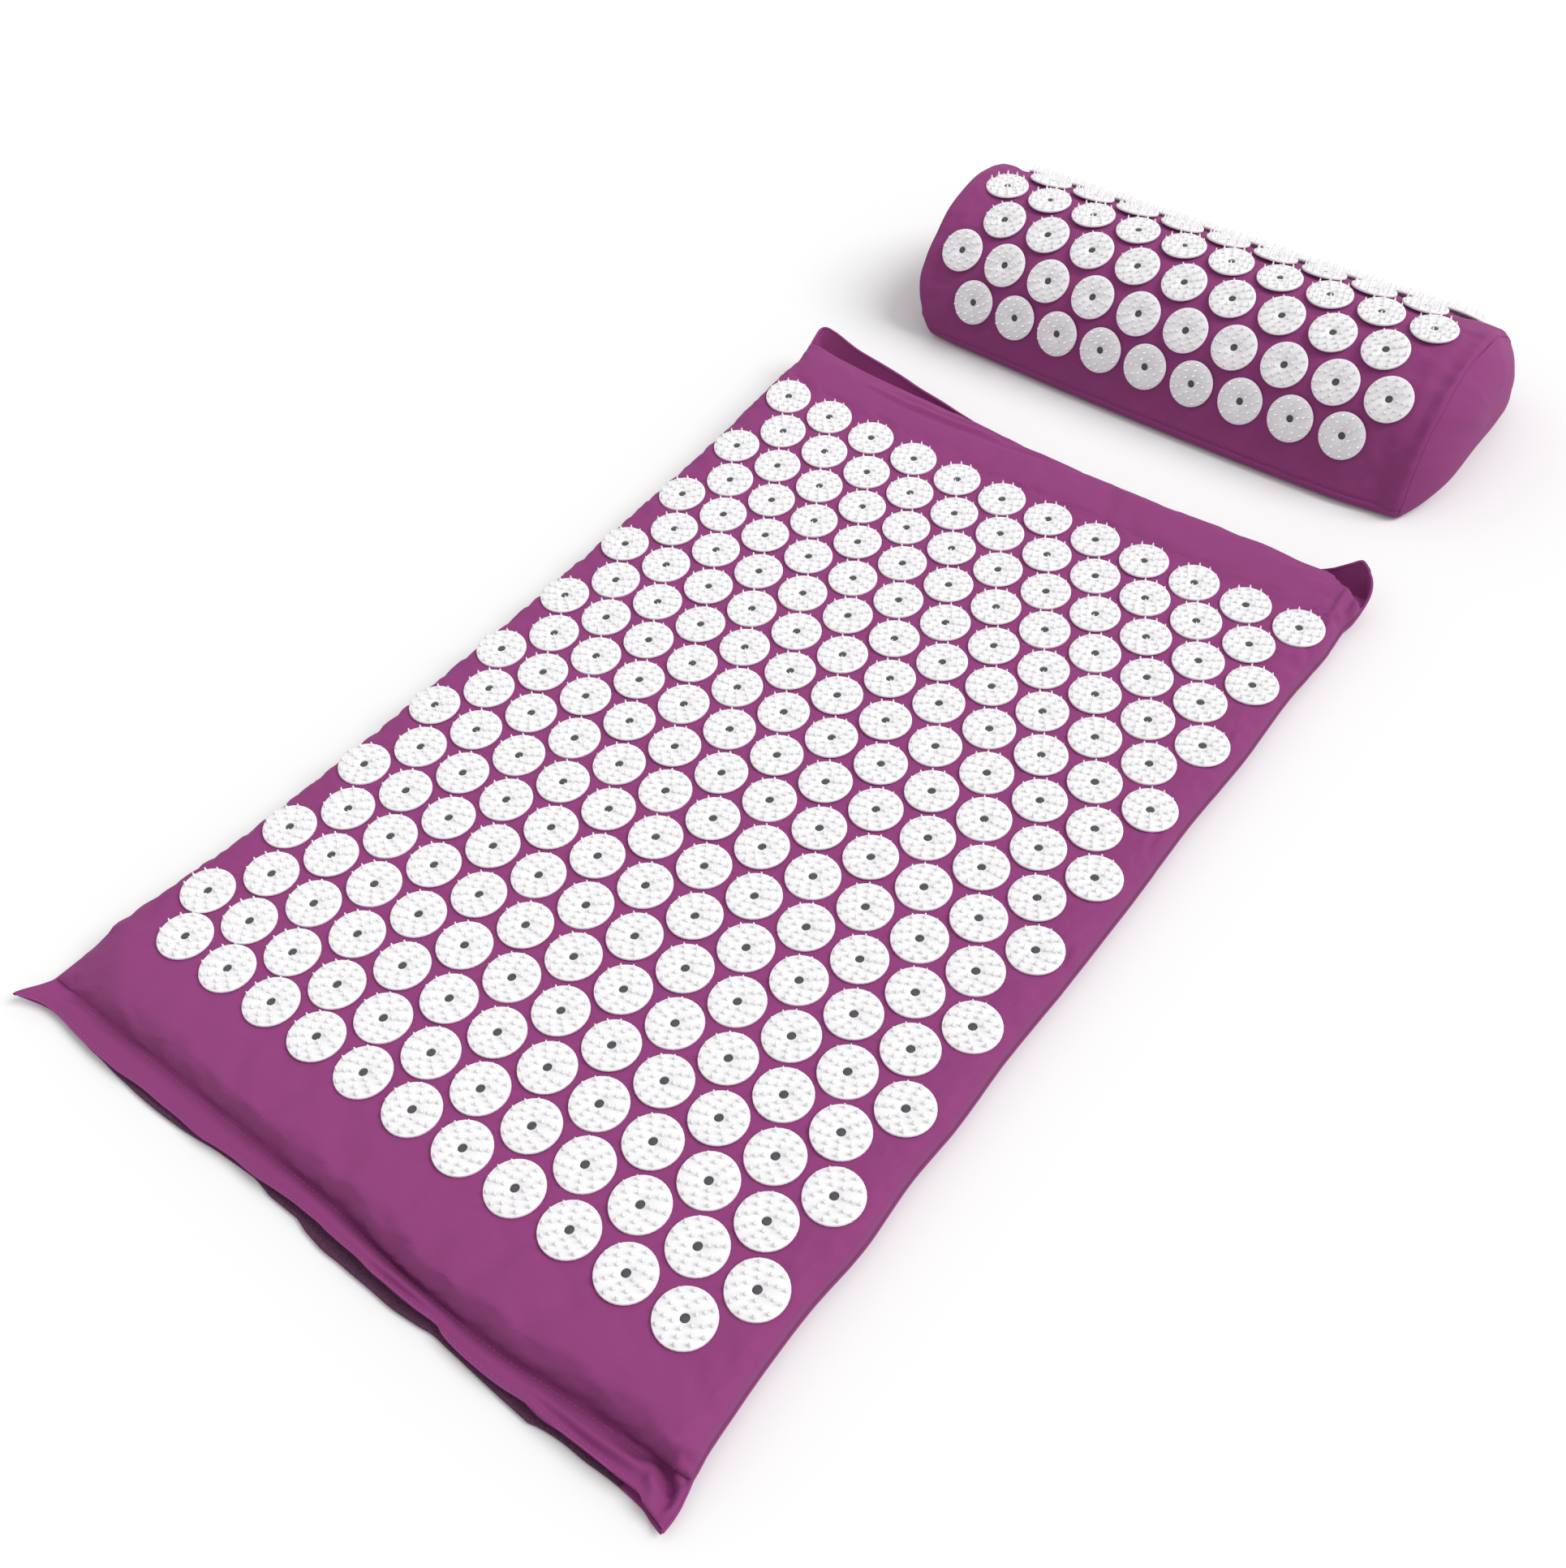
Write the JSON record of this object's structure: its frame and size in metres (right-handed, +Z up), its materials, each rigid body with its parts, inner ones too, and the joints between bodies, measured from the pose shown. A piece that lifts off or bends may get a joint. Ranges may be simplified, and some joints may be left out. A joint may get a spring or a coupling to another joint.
{
  "type": "acupressure mat",
  "caption": "Foam mat and matching half-round neck pillow in sewn cotton covers, carrying staggered rows of round spiked plastic discs for lying on.",
  "frame": {"origin": "centre of the mat's underside, on the surface it lies on", "axes": "+Y along the mat's length, from the mouth of its cover towards the pillow; +X to the right seen from the mouth; +Z up"},
  "size_m": [0.4332, 0.8852, 0.0839],
  "materials": {
    "cotton": "plain woven purple cotton, matt",
    "discs": "moulded white plastic, slight sheen",
    "foam": "open-cell cushion foam, hidden inside the covers",
    "tape": "hook-and-loop tape, matt"
  },
  "bodies": {
    "mat": {"mat_foam_core": "foam", "mat_top_panel": "cotton", "mat_bottom_panel": "cotton", "mat_hook_tape": "tape", "mat_loop_tape": "tape", "mat_disc_row_01": "discs", "mat_disc_row_02": "discs", "mat_disc_row_03": "discs", "mat_disc_row_04": "discs", "mat_disc_row_05": "discs", "mat_disc_row_06": "discs", "mat_disc_row_07": "discs", "mat_disc_row_08": "discs", "mat_disc_row_09": "discs", "mat_disc_row_10": "discs", "mat_disc_row_11": "discs", "mat_disc_row_12": "discs", "mat_disc_row_13": "discs", "mat_disc_row_14": "discs", "mat_disc_row_15": "discs", "mat_disc_row_16": "discs", "mat_disc_row_17": "discs", "mat_disc_row_18": "discs", "mat_disc_row_19": "discs", "mat_disc_row_20": "discs"},
    "pillow": {"pillow_foam_core": "foam", "pillow_wrap": "cotton", "pillow_base_panel": "cotton", "pillow_end_left": "cotton", "pillow_end_right": "cotton", "pillow_disc_row_1": "discs", "pillow_disc_row_2": "discs", "pillow_disc_row_3": "discs", "pillow_disc_row_4": "discs", "pillow_disc_row_5": "discs", "pillow_disc_row_6": "discs", "pillow_disc_row_7": "discs"}
  },
  "joints": [
    {"name": "pillow_lift", "type": "slide", "parent": "mat", "child": "pillow", "axis": [0, 0, 1], "range_m": [0, 0.3]}
  ]
}
